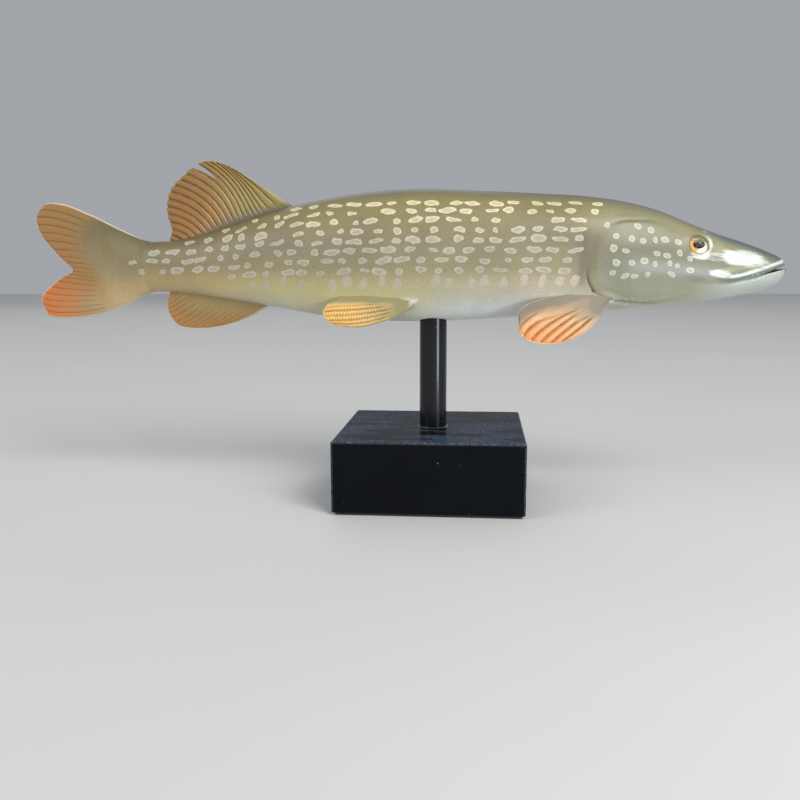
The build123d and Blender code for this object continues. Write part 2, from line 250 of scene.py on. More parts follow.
class Shader:
    """A material's node tree, with one short call for each kind of node."""

    def __init__(self, name):
        self.material = bpy.data.materials.new(name)
        self.material.use_nodes = True
        self.tree = self.material.node_tree
        self.surface = self.tree.nodes["Principled BSDF"]

    def feed(self, socket, source):
        if isinstance(source, Value):
            self.tree.links.new(source.socket, socket)
        else:
            socket.default_value = (*source, 1) if socket.type == "RGBA" else source

    def node(self, kind, inputs=(), output=0, **settings):
        """An output of a new node. inputs are pairs of an input's number or name and its source."""
        made = self.tree.nodes.new("ShaderNode" + kind)
        for key, value in settings.items():
            setattr(made, key, value)
        for key, source in inputs:
            self.feed(made.inputs[key], source)
        return Value(self, made.outputs[output])

    def math(self, operation, *values):
        return self.node("Math", enumerate(values), operation=operation)

    def step(self, value, low, high, out_low=0.0, out_high=1.0):
        """A smooth step as value goes from low to high, which may run downwards."""
        sources = enumerate((value, low, high, out_low, out_high))
        return self.node("MapRange", sources, interpolation_type="SMOOTHSTEP")

    def mix(self, factor, a, b, blend="MIX"):
        return self.node("Mix", [(0, factor), (6, a), (7, b)], 2, data_type="RGBA", blend_type=blend)

    def coats(self, colour, *coats):
        """The colour under coats of paint, each of them a share and a colour."""
        for share, paint in coats:
            colour = self.mix(share, colour, paint)
        return colour

    def ramp(self, value, stops):
        """A colour for each value, from (place, colour) stops."""
        colour = self.node("ValToRGB", [(0, value)])
        elements = colour.socket.node.color_ramp.elements
        elements[0].position, elements[0].color = stops[0][0], (*stops[0][1], 1)
        elements[1].position, elements[1].color = stops[-1][0], (*stops[-1][1], 1)
        for share, between in stops[1:-1]:
            elements.new(share).color = (*between, 1)
        return colour

    def attribute(self, name):
        """The three numbers of a vertex attribute."""
        return self.split(self.node("Attribute", output="Vector", attribute_name=name))

    def split(self, vector):
        parts = self.node("SeparateXYZ", [(0, vector)]).socket.node.outputs
        return [Value(self, part) for part in parts]

    def join(self, x, y, z=0.0):
        return self.node("CombineXYZ", enumerate((x, y, z)))

    def position(self):
        """The place in the object's own coordinates, in millimetres."""
        place_m = self.node("TexCoord", output="Object")
        return self.node("VectorMath", [(0, place_m), ("Scale", 1 / MM)], operation="SCALE")

    def noise(self, vector, scale, detail=3.0, roughness=0.5):
        sources = [("Vector", vector), ("Scale", scale), ("Detail", detail), ("Roughness", roughness)]
        return self.node("TexNoise", sources)

    def random(self, vector):
        """Three random numbers for each different vector."""
        sources = [("Vector", vector)]
        return self.split(self.node("TexWhiteNoise", sources, "Color", noise_dimensions="3D"))

    def bump(self, height, depth_mm, strength=1.0):
        sources = [("Strength", strength), ("Distance", depth_mm * MM), ("Height", height)]
        self.feed(self.surface.inputs["Normal"], self.node("Bump", sources))

    def finish(self, **sockets):
        """Feeds the surface's inputs, named with underscores for spaces, and returns the material."""
        for key, source in sockets.items():
            self.feed(self.surface.inputs[key.replace("_", " ")], source)
        return self.material


# ---- Body skin: rings of vertices, then relief ----
def body_rings():
    """Each ring's place along X, its station values, and how far the end caps shrink it."""
    trunk = np.arange(STATIONS[0, 0], HEAD_FROM, TRUNK_STEP)
    head = np.arange(HEAD_FROM, STATIONS[-1, 0], HEAD_STEP)
    x = np.concatenate([trunk, head, [STATIONS[-1, 0]]])
    shapes = [through(STATIONS[:, 0], STATIONS[:, k], x) for k in (1, 2, 3)]
    turn = np.linspace(0, pi / 2, CAP_RINGS + 1)[1:-1]
    tail_x, snout_x = x[0] - TAIL_CAP * np.sin(turn), x[-1] + SNOUT_CAP * np.sin(turn)
    places = np.concatenate([tail_x[::-1], x, snout_x])
    shrink = np.concatenate([np.cos(turn)[::-1], np.ones(len(x)), np.cos(turn)])
    ends = (len(turn), len(turn))
    low, high, half = (np.pad(shape, ends, mode="edge") for shape in shapes)
    return places, low, high, half, shrink


def ring_grid():
    """The skin before relief, as a grid of points, with each point's arc from the middle of the side."""
    places, low, high, half, shrink = body_rings()
    angle = 2 * pi * np.arange(AROUND) / AROUND
    across = np.sign(np.cos(angle)) * np.abs(np.cos(angle)) ** (2 / FULLNESS)
    upward = np.sign(np.sin(angle)) * np.abs(np.sin(angle)) ** (2 / FULLNESS)
    middle, tall = (low + high) / 2, (high - low) / 2
    grid = np.zeros((len(places), AROUND, 3))
    grid[:, :, 0] = places[:, None]
    grid[:, :, 1] = (half * shrink)[:, None] * across
    grid[:, :, 2] = middle[:, None] + (tall * shrink)[:, None] * upward
    step = np.linalg.norm(grid - np.roll(grid, 1, axis=1), axis=2)
    quarter = AROUND // 4
    up = np.cumsum(np.concatenate([np.zeros((len(places), 1)), step[:, 1 : quarter + 1]], 1), 1)
    arc = np.zeros(grid.shape[:2])
    for j in range(quarter + 1):
        for k, sign in ((j, 1), (2 * quarter - j, 1), (2 * quarter + j, -1), (-j % AROUND, -1)):
            arc[:, k % AROUND] = sign * up[:, j]
    height = 0.5 + arc / (2 * up[:, -1:])
    return grid, arc, height


def grid_normals(grid):
    """Outward normals of the ring grid."""
    forward = np.gradient(grid, axis=0)
    around = np.roll(grid, -1, axis=1) - np.roll(grid, 1, axis=1)
    normal = np.cross(around, forward)
    return normal / np.maximum(np.linalg.norm(normal, axis=2, keepdims=True), 1e-9)


def eye_place():
    """The middle of the right eye's disc and the direction that it looks, from the frame."""
    low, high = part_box("eye_disc_right")
    disc = (low + high) / 2 / MM
    low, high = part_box("eye_dome_right")
    dome = (low + high) / 2 / MM
    return np.array(disc), np.array((dome - disc).normalized())


def eye_distance(grid):
    """Each place's distance from the axis of the eye on its own side."""
    centre, axis = eye_place()
    offset = np.stack([grid[..., 0], -np.abs(grid[..., 1]), grid[..., 2]], -1) - centre
    return np.linalg.norm(offset - (offset @ axis)[..., None] * axis, axis=-1)


def ridge(distance, width):
    """1 on a line, fading away from it within about its width."""
    return np.exp(-((distance / width) ** 2))


def relief(grid):
    """How far the head's features stand out from the ring grid, in millimetres, and the paint marks, with
    painted shade, highlights and glints among them.
    """
    x, z = grid[..., 0], grid[..., 2]
    rear, rear_share = line_distance(x, z, GILL_REAR)
    lower, _ = line_distance(x, z, GILL_LOWER)
    top, top_share = line_distance(x, z, GILL_TOP)
    crease, crease_share = line_distance(x, z, MOUTH_CREASE)
    lip, lip_share = line_distance(x, z, UPPER_LIP)
    under, under_share = line_distance(x, z, UNDER_LIP)
    streak, streak_share = line_distance(x, z, SNOUT_STREAK)
    fold, _ = line_distance(x, z, LIP_FOLD)
    plate = inside(x, z, GILL_REAR[:-1] + GILL_LOWER + GILL_FRONT + GILL_TOP[::-1][:-1])
    edge = np.minimum(rear, lower)
    fade = ease(100, 76, x)
    eye = eye_distance(grid)

    out = 0.75 * plate * ease(0, 5.0, edge) * fade * (1 - 0.8 * ease(108, 118, z))
    out -= 0.5 * ridge(x - 61.8, 3.4) * ease(90, 97, z) * ease(120, 110, z)
    out -= 0.45 * ridge(rear, 0.6) * ease(0.62, 0.85, rear_share)
    out -= 0.32 * ridge(lower, 0.8) * ease(108, 96, x)
    out -= 0.16 * ridge(top, 0.8) * ease(1, 0.5, top_share)
    out -= 0.40 * ridge(crease, 0.5) * ease(1, 0.5, crease_share)
    out += 0.40 * ridge(lip, 1.3) * ease(0, 0.12, lip_share)
    out -= 0.22 * ridge(fold, 0.7)
    out += 0.28 * ridge(eye - 4.8, 0.7)
    out -= 0.35 * blob(x, z, (128, 109.0), (11, 2.6), -24)
    out += 0.9 * blob(x, z, (73.5, 88.2), (7, 3.6), -14)
    out += 0.6 * blob(x, z, (-11, 86.3), (6, 3.2))

    # Painted shade: dark lines in the gill cover's grooves, the mouth's crease, the lip's fold and round the
    # eye's rear rim.
    dark = 0.95 * ridge(rear, 0.55) * ease(0.62, 0.86, rear_share)
    dark += 0.55 * ridge(lower, 0.5) * ease(104, 90, x)
    dark += 0.42 * ridge(top, 0.5) * ease(0, 0.2, top_share) * ease(1, 0.5, top_share)
    dark += 0.85 * ridge(crease, 0.42) * ease(0.9, 0.35, crease_share)
    dark += 0.55 * ridge(eye - 4.3, 0.3) * ease(114, 110, x)
    dark += 0.28 * ridge(fold, 0.45)

    on_side = ease(3.0, 6.5, np.abs(grid[..., 1]))
    # Pale pearl paint on the snout and lips, partly painted highlight; the ring ahead of the eye and the
    # patch under the eye are a painted reflection of the lens, and the dabs on the pectoral and pelvic roots
    # are painted highlights.
    pearl_and_highlight = np.max([
        blob(x, z, (129.0, 104.9), (14.0, 4.8), -9),
        0.95 * blob(x, z, (111.2, 106.6), (6.4, 3.2), -10),
        0.50 * blob(x, z, (117.5, 105.6), (9.0, 3.0), -6),
        0.85 * ridge(eye - 5.1, 0.9) * ease(111.5, 116, x),
        0.6 * ridge(streak, 0.9) * ease(0.8, 0.4, streak_share) * on_side,
        0.95 * ridge(lip, 0.85) * ease(0.05, 0.25, lip_share),
        0.90 * blob(x, z, (119.5, 98.7), (7.0, 2.4), -6),
        blob(x, z, (75.6, 87.9), (1.6, 1.1)),
        blob(x, z, (-9.2, 86.8), (1.4, 3.4), 15),
    ], axis=0)

    # Painted shade: a soft dark band behind the gill cover and a smudge at the corner of the jaw.
    painted_shade = 0.95 * ridge(x - 61.6 + 0.05 * (z - 104), 4.0)
    painted_shade = painted_shade * ease(90, 98, z) * ease(122, 112, z)
    painted_shade = np.maximum(painted_shade, 0.75 * blob(x, z, (109.3, 97.0), (5.5, 2.2), -8))

    teal = ridge(under, 0.75) * ease(0, 0.15, under_share)
    gold = 0.8 * blob(x, z, (124, 100.3), (9, 2.0), 12)
    gold = np.maximum(gold, 0.7 * ridge(lower - 1.6, 1.2) * plate * ease(108, 98, x))
    # Painted glints: pale specks along the gill cover's lower edge and under the mouth's crease near the lip.
    glint_specks = ridge(lower - 0.9, 0.9) * ease(74, 79, x) * ease(92, 86, x)
    near_lip = ease(128, 132, x) * ease(144, 140, x)
    glint_specks = np.maximum(glint_specks, ridge(crease - 0.9, 0.45) * near_lip)
    lines = np.stack([teal, gold, glint_specks], -1)
    return out, np.stack([np.clip(dark, 0, 1), pearl_and_highlight, painted_shade], -1), lines


def paint_zones(grid, height):
    """Shares of snout-top blue, pale jaw and belly white at each place."""
    x, z = grid[..., 0], grid[..., 2]
    depth = at_stations(STATIONS[:, 2], x) - z
    snout = ease(106, 126, x) * ease(4.6, 1.0, depth + 0.02 * (132 - x))
    crease_z = 94.6 + 0.30 * np.clip(x - 124, 0, None)
    jaw = ease(104, 128, x) * ease(0.5, -0.9, z - crease_z)
    belly = ease(-30, 20, x) * ease(82, 55, x) * ease(0.46, 0.16, height)
    return np.stack([snout, jaw, belly], -1)


def cutter(core, paint):
    """Closed shapes of all that is cut out of the body, in one mesh: the sleeve's bore and the mouth, which
    show the core, and the eye sockets, which are painted."""
    low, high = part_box("belly_sleeve")
    bore_radius = (high.x - low.x) / 2 / MM + SLEEVE_CLEARANCE
    bore_top = high.z / MM + SLEEVE_CLEARANCE
    turns = [2 * pi * k / CUTTER_SIDES for k in range(CUTTER_SIDES)]
    circle = np.array([(cos(turn), sin(turn)) for turn in turns])
    wedge, wedge_faces = prism(MOUTH_GAP, -10, 10)
    shapes = [prism(bore_radius * circle, 60, bore_top), ([(x, y, z) for x, z, y in wedge], wedge_faces)]
    centre, axis = eye_place()
    for side in (-1, 1):
        turn = Vector((axis[0], -side * axis[1], axis[2])).to_track_quat("Z", "Y").to_matrix()
        start = Vector((centre[0], -side * centre[1], centre[2]))
        socket, socket_faces = prism(EYE_SOCKET_RADIUS * circle, -EYE_SOCKET_DEPTH, 9)
        shapes.append(([tuple(start + turn @ Vector(p)) for p in socket], socket_faces))
    all_points, all_faces, painted = [], [], []
    for number, (points, faces) in enumerate(shapes):
        all_faces += [tuple(k + len(all_points) for k in face) for face in faces]
        all_points += points
        painted += [int(number >= 2)] * len(faces)
    tool = new_object("cutter", all_points, all_faces, [core, paint])
    tool.data.polygons.foreach_set("material_index", painted)
    return tool


def make_skin(paint, core):
    """The painted body, with the sleeve's bore, the eye sockets and the mouth cut into it."""
    grid, arc, height = ring_grid()
    out, marks, lines = relief(grid)
    points = grid + grid_normals(grid) * out[..., None]
    rings = len(grid)
    flat = points.reshape(-1, 3)
    ends = np.array([flat[:AROUND].mean(0) - (END_BULGE, 0, 0), flat[-AROUND:].mean(0) + (END_BULGE, 0, 0)])
    faces = tube_faces(rings, AROUND)
    last = (rings - 1) * AROUND
    for j in range(AROUND):
        k = (j + 1) % AROUND
        faces.append((j, k, rings * AROUND))
        faces.append((last + k, last + j, rings * AROUND + 1))
    skin = new_object("body_skin", np.concatenate([flat, ends]), faces, [paint])

    tool = cutter(core, paint)
    cut = skin.modifiers.new("cut", "BOOLEAN")
    cut.operation = "DIFFERENCE"
    cut.solver = "EXACT"
    cut.material_mode = "TRANSFER"
    cut.object = tool
    apply_modifiers(skin)
    bpy.data.objects.remove(tool)

    nearest = nearest_vertices(skin, flat)
    along_skin = np.stack([grid[..., 0], arc, height], -1)
    attributes = {"skin": along_skin, "marks": marks, "lines": lines, "zones": paint_zones(grid, height)}
    for name, values in attributes.items():
        set_attribute(skin, name, values.reshape(-1, 3)[nearest])
    place(skin, "fish", "body")


# ---- Fins: a sheet between four curves, with rays on both faces ----
class Fin:
    """A fin's outline and rays.

    The points of root and edge are paired, one pair for each of a few rays; first and last run along the
    end rays between them. halves are the half thicknesses at the root and the edge. starts says, at even
    steps across the fin, at what share of their length the rays rise. Every fin has a ridge, the rays'
    height, a sharpness, which narrows the grooves, and steps, its faces along and across the rays.
    """

    bow = (0, 0)  # how far the middle of a ray bends in the fin's own plane
    hug = 1.0  # above 1, only the outermost rays follow first and last
    crowding = 1.0  # above 1, the rays are closer at the last ray
    scallop = 0.0  # how far the edge draws back between rays, as a share of their length
    slit = None  # its place across the rays, half width and depth
    beads = 0  # to a ray
    smooth_until = 0.0  # no rays before this share of the width
    cup = 0.0  # how far the edge bends out of the fin's plane
    swell = None  # a function that changes the half thickness

    def __init__(self, root, edge, first, last, rays, halves, starts, **details):
        self.root, self.edge = root, edge
        self.first, self.last = [root[0], *first, edge[0]], [root[-1], *last, edge[-1]]
        self.rays, self.starts = rays, starts
        self.root_half, self.edge_half = halves
        for key, value in details.items():
            setattr(self, key, value)

    def sheet(self):
        """The grid of flat places, the shares along and across the rays, the depth of the grooves, how far
        the rays have risen and how far past their start each place is."""
        nu, nv = self.steps
        U, V = np.meshgrid(np.linspace(0, 1, nu + 1), np.linspace(0, 1, nv + 1), indexing="ij")
        lane = np.clip((V - self.smooth_until) / (1 - self.smooth_until), 0, 1) ** self.crowding
        rib = 1 - np.abs(2 * (lane * self.rays % 1.0) - 1) ** self.sharpness
        if self.beads:
            along_ray = U * self.beads + 0.5 * np.floor(lane * self.rays)
            rib = rib * (0.78 + 0.22 * np.cos(2 * pi * along_ray))
        start = through(np.linspace(0, 1, len(self.starts)), np.array(self.starts, float), V.ravel())
        past = U - start.reshape(V.shape)
        rise = ease(-0.05, 0.09, past) * (V >= self.smooth_until)
        groove = (1 - rib) * rise
        reach = 1 - self.scallop * (1 - rib) * ease(0.7, 1, U)
        if self.slit:
            where, half_width, depth = self.slit
            reach = reach * (1 - depth * np.clip(1 - np.abs(V - where) / half_width, 0, 1))
        return self.coons(U * reach, V), U, V, groove, rise, past

    def coons(self, U, V):
        """Places inside the four boundary curves, bowed sideways between the end rays."""
        root, edge = along(self.root, V[0], even=True), along(self.edge, V[0], even=True)
        shares = U.ravel()
        first = along(self.first, shares).reshape(*U.shape, 2)
        last = along(self.last, shares).reshape(*U.shape, 2)
        u, v = U[..., None], V[..., None]
        across = (1 - u) * root + u * edge
        bulge = (1 - v) ** self.hug * (first - (1 - u) * root[0] - u * edge[0])
        bulge = bulge + v**self.hug * (last - (1 - u) * root[-1] - u * edge[-1])
        return across + bulge + 4 * u * (1 - u) * np.sin(pi * v) * np.array(self.bow)

    def half_thickness(self, places, U, V, groove, rise):
        """Tapered to the edge, raised at the rays and rounded at the rim."""
        taper = self.root_half + (self.edge_half - self.root_half) * U**0.7
        rim = np.minimum(np.minimum((1 - U) / 0.05, V / 0.03), (1 - V) / 0.03)
        rim = np.sqrt(1 - (1 - np.clip(rim, 0, 1)) ** 2)
        half = np.maximum(taper + self.ridge * (0.4 * rise - groove), 0.15) * rim + 0.06
        return self.swell(places, V, half) if self.swell else half

    def build(self, name, to_frame, material, flip=False):
        """The fin as a closed mesh. to_frame turns (places, offset to one face) into frame points."""
        places, U, V, groove, rise, past = self.sheet()
        half = self.half_thickness(places, U, V, groove, rise)
        bow = self.cup * U**2
        faces_points = [to_frame(places, bow + side * half).reshape(-1, 3) for side in (1, -1)]
        rows, columns = U.shape
        size = rows * columns
        faces = []
        for i in range(rows - 1):
            for j in range(columns - 1):
                a, b = i * columns + j, (i + 1) * columns + j
                faces.append((a, a + 1, b + 1, b))
                faces.append((size + b, size + b + 1, size + a + 1, size + a))
        number = np.arange(size).reshape(rows, columns)
        rim = [number[0], number[1:, -1], number[-1, -2::-1], number[-2:0:-1, 0]]
        rim = np.concatenate(rim).tolist()
        for a, b in zip(rim, rim[1:] + rim[:1]):
            faces.append((b, a, size + a, size + b))
        if flip:
            faces = [face[::-1] for face in faces]
        fin = new_object(name, np.concatenate(faces_points), faces, [material])
        middle = at_stations(STATIONS[:, 1:3].mean(1), places[..., 0])
        along_skin = (places[..., 0], places[..., 1] - middle, 1 - V)
        attributes = {"fin": (U, V, groove), "rise": (rise, past, V), "skin": along_skin}
        for key, values in attributes.items():
            values = np.stack(values, -1).reshape(-1, 3)
            set_attribute(fin, key, np.concatenate([values, values]))
        return fin


def over_tail_end(places, V, half):
    """Thickens the tail fin's root so that it runs smoothly out of the body's end."""
    x = places[..., 0]
    width = at_stations(STATIONS[:, 3], x) * ease(-174, -146, x)
    body = width * np.clip(1 - np.abs(2 * V - 1) ** FULLNESS, 0, 1) ** (1 / FULLNESS)
    grown = ease(-127, -144, x)
    own = half * grown
    joined = 0.5 * (own + body + np.sqrt((own - body) ** 2 + 0.6 * grown)) + 0.03
    joined = np.maximum(joined * np.minimum(1, half / 0.5), 0.08)
    hidden = np.maximum(body - 1.2, 0.1)
    shown = ease(-125.5, -131.5, x)
    return hidden * (1 - shown) + joined * shown


def in_middle_plane(places, offset):
    """Places in X and Z, offset along Y."""
    return np.stack([places[..., 0], offset, places[..., 1]], -1)


def in_plane(origin, back, inward, side):
    """A function that lays (back, down) places in a paired fin's plane on the given side (-1 is right)."""
    origin, back, inward = (np.array(v, float) for v in (origin, back, inward))
    back, inward = back / np.linalg.norm(back), inward / np.linalg.norm(inward)
    down = -np.cross(inward, back)

    def lay(places, offset):
        points = origin + places[..., :1] * back + places[..., 1:] * down + offset[..., None] * inward
        return points * np.array([1, -side, 1])

    return lay


TAIL = Fin(
    root=[(-120, z) for z in (113, 110, 106.8, 103.6, 100.4, 97.2, 94.2, 91.5)],
    edge=[(-176.4, 130.3), (-180.6, 124.8), (-178.6, 116.6), (-170.6, 107), (-164.7, 100.9), (-171.6, 96.9),
          (-180.2, 88.8), (-177.6, 80.4)],
    first=[(-125, 113.1), (-129, 113.9), (-134, 115.8), (-140, 118.5), (-155, 125.8), (-168, 130.5),
           (-173, 131)],
    last=[(-125, 91.3), (-129, 90.4), (-134, 88.2), (-140, 85.2), (-155, 80.4), (-168, 79), (-174, 79.3)],
    rays=19, halves=(1.3, 0.45), starts=(0.55, 0.60, 0.67, 0.72, 0.72, 0.60, 0.52, 0.47), crowding=1.2,
    ridge=0.3, sharpness=5.0, swell=over_tail_end, steps=(80, 228),
)
DORSAL = Fin(
    root=[(-112.5, 111.5), (-108, 113), (-102.5, 114.5), (-98, 116), (-93.5, 117.5), (-89, 119),
          (-84.8, 120.2), (-80.5, 121.3), (-76, 122.4), (-70.5, 124), (-59.5, 127)],
    edge=[(-118.4, 114.2), (-117.2, 118.6), (-118.9, 125), (-118.9, 131.3), (-116.5, 137.3),
          (-111.7, 141.9), (-106, 146.5), (-101.2, 148.4), (-96, 148.1), (-91.5, 146.6), (-87, 144.4)],
    first=[(-115.5, 112.8)],
    last=[(-63.4, 129.4), (-68, 132.2), (-75, 137), (-81, 140.8)],
    rays=19, halves=(1.2, 0.55),
    starts=(0.24, 0.15, 0.11, 0.09, 0.08, 0.08, 0.08, 0.08, 0.09, 0.12, 0.22), bow=(3.4, 2.7), ridge=0.6,
    sharpness=2.4, scallop=0.016, slit=(0.604, 0.025, 0.36), steps=(64, 304),
)
ANAL = Fin(
    root=[(-115, 94.5), (-109.5, 94.2), (-103.5, 93.6), (-97, 92.8), (-90, 91.8), (-83, 90.6), (-75, 89)],
    edge=[(-119.3, 90.8), (-120.5, 86), (-120, 81.4), (-116.4, 76.4), (-110.6, 74.9), (-103, 74.9),
          (-95, 76)],
    first=[(-117.4, 93)],
    last=[(-72.4, 86.8), (-78, 82.4), (-86, 78.6)],
    rays=15, halves=(1.1, 0.45), starts=(0.34, 0.34, 0.34, 0.34, 0.34, 0.36, 0.40), bow=(-1.0, -1.6),
    ridge=0.2, sharpness=3.0, scallop=0.006, steps=(52, 180),
)
PECTORAL = Fin(
    root=[(-4.5, -4), (-4.6, -2.8), (-4.2, -1.4), (-3.3, -0.2), (-2.2, 0.7), (-0.9, 1.4), (0.5, 2.0)],
    edge=[(36.8, -5.6), (38.9, -0.6), (38.3, 3.6), (35.2, 6.9), (30.8, 9.2), (25.6, 10.7), (20, 11.1)],
    first=[(8, -6.6), (20, -8.8), (31, -9.6), (34.6, -8.2)],
    last=[(4, 5.2), (8, 8.0), (14, 10.3)],
    rays=6, halves=(1.05, 0.5), starts=(0.80, 0.76, 0.70, 0.42, 0.54, 0.38, 0.44), bow=(0, -2.2), hug=2.6,
    ridge=0.9, sharpness=3.4, scallop=0.01, smooth_until=0.17, cup=-0.6, steps=(70, 150),
)
PELVIC = Fin(
    root=[(-3.2, -3.6), (-3.4, -2.6), (-3.2, -1.4), (-2.0, 0.2), (0, 1.7)],
    edge=[(31.5, -6.0), (35.8, -3.8), (37.7, -0.6), (36.2, 3.0), (32, 5.5)],
    first=[(10, -4.9), (22, -6.5), (28, -6.7)],
    last=[(6, 4.2), (14, 6.2), (24, 7)],
    rays=5, halves=(1.05, 0.55), starts=(0.62, 0.55, 0.46, 0.32, 0.26, 0.30, 0.36), ridge=0.7,
    sharpness=2.2, smooth_until=0.34, beads=34, cup=0.5, steps=(190, 90),
)
LEFT_PECTORAL_SHIFT = 2.4
PECTORAL_PLANES = [
    ((72 + shift, -13.5, 88), (-0.916, -0.229, -0.331), (-0.090, 0.918, -0.386))
    for shift in (0, LEFT_PECTORAL_SHIFT)
]
PELVIC_PLANES = [((-9, -15, 86), (-0.993, -0.041, -0.110), (-0.028, 0.992, -0.119))] * 2


# ---- Paint of the body ----
# Colours from the belly (0) to the back (1)
TRUNK_COLOURS = [(0.0, (0.58, 0.56, 0.46)), (0.14, (0.60, 0.56, 0.38)), (0.27, (0.52, 0.46, 0.21)),
                 (0.42, (0.28, 0.245, 0.13)), (0.58, (0.235, 0.205, 0.125)), (0.72, (0.24, 0.20, 0.095)),
                 (0.84, (0.24, 0.205, 0.085)), (0.93, (0.12, 0.11, 0.06)), (1.0, (0.035, 0.04, 0.035))]
TAIL_COLOURS = [(0.0, (0.46, 0.36, 0.18)), (0.28, (0.40, 0.285, 0.125)), (0.5, (0.255, 0.20, 0.10)),
                (0.78, (0.20, 0.155, 0.068)), (1.0, (0.13, 0.11, 0.055))]
HEAD_COLOURS = [(0.0, (0.44, 0.43, 0.34)), (0.2, (0.30, 0.30, 0.21)), (0.42, (0.185, 0.183, 0.122)),
                (0.62, (0.18, 0.168, 0.095)), (0.80, (0.255, 0.24, 0.12)), (0.91, (0.16, 0.155, 0.10)),
                (1.0, (0.04, 0.045, 0.04))]
BELLY_WHITE, BELLY_GREY = (0.80, 0.82, 0.80), (0.42, 0.415, 0.39)
GILL_SHADE = (0.15, 0.13, 0.09)
JAW_GREY = (0.42, 0.46, 0.41)
SNOUT_BLUE = (0.085, 0.115, 0.12)
OLD_GOLD = (0.36, 0.34, 0.17)
LIP_TEAL = (0.10, 0.14, 0.15)
PEARL_AND_GLINT = (0.64, 0.67, 0.61)
CREASE_SHADE = (0.035, 0.028, 0.02)
SPOT_HIGH, SPOT_HIGH_CORE = (0.78, 0.71, 0.45), (0.56, 0.49, 0.31)
SPOT_LOW, SPOT_LOW_CORE = (0.48, 0.44, 0.33), (0.33, 0.31, 0.25)
OVAL_GREY, OVAL_ROSE = (0.46, 0.41, 0.35), (0.60, 0.47, 0.41)
SPOT_FULLNESS = 2.2  # 2 for ellipses, more for fuller shapes
CHEEK_SPOT, CHEEK_CORE = (0.60, 0.58, 0.44), (0.33, 0.32, 0.25)


def spots(s, x, t, seed, pitch, long, high, tilt, allowed, wander=(0.32, 0.22), keep=0.93):
    """Hand-painted spots in rows: one in each cell of a brick-like grid, of random size, place and tilt.

    x runs along the body and t across it, in millimetres. pitch is a cell's size; long and high are the
    least and most half length and half height; tilt is its middle and its spread, in radians; wander is
    how far a spot may stray, as shares of the cell; keep is the share of the spots that are painted.
    allowed(x, t) says where a cell's middle may be. Returns the paint's share and how near each place is
    to its spot's middle.
    """
    row = s.math("FLOOR", t / pitch[1])
    shift, _, _ = s.random(s.join(row, seed, 3.3))
    lane = x / pitch[0] + shift * 7.0
    column = s.math("FLOOR", lane)
    across = lane - column - 0.5
    up = t / pitch[1] - row - 0.5
    place_x, place_t, size = s.random(s.join(column, row, seed))
    size_high, lean, present = s.random(s.join(column, row, seed + 51.7))
    dx = (across - (place_x - 0.5) * wander[0]) * pitch[0]
    dt = (up - (place_t - 0.5) * wander[1]) * pitch[1]
    angle = (lean - 0.5) * tilt[1] + tilt[0]
    c, d = s.math("COSINE", angle), s.math("SINE", angle)
    a = s.math("ABSOLUTE", dx * c + dt * d)
    b = s.math("ABSOLUTE", dt * c - dx * d)
    a = a / (size * (long[1] - long[0]) + long[0])
    b = b / (size_high * (high[1] - high[0]) + high[0])
    reach = (a**SPOT_FULLNESS + b**SPOT_FULLNESS) ** (1 / SPOT_FULLNESS)
    middle_x = (column - shift * 7.0 + 0.5) * pitch[0]
    middle_t = (row + 0.5) * pitch[1]
    shown = (present < keep) * allowed(middle_x, middle_t)
    return s.step(reach, 1.12, 0.92) * shown, s.step(reach, 0.95, 0.35)


def limits(value, low, high):
    """1 where a shader value lies between the limits."""
    return (value > low) * (value < high)


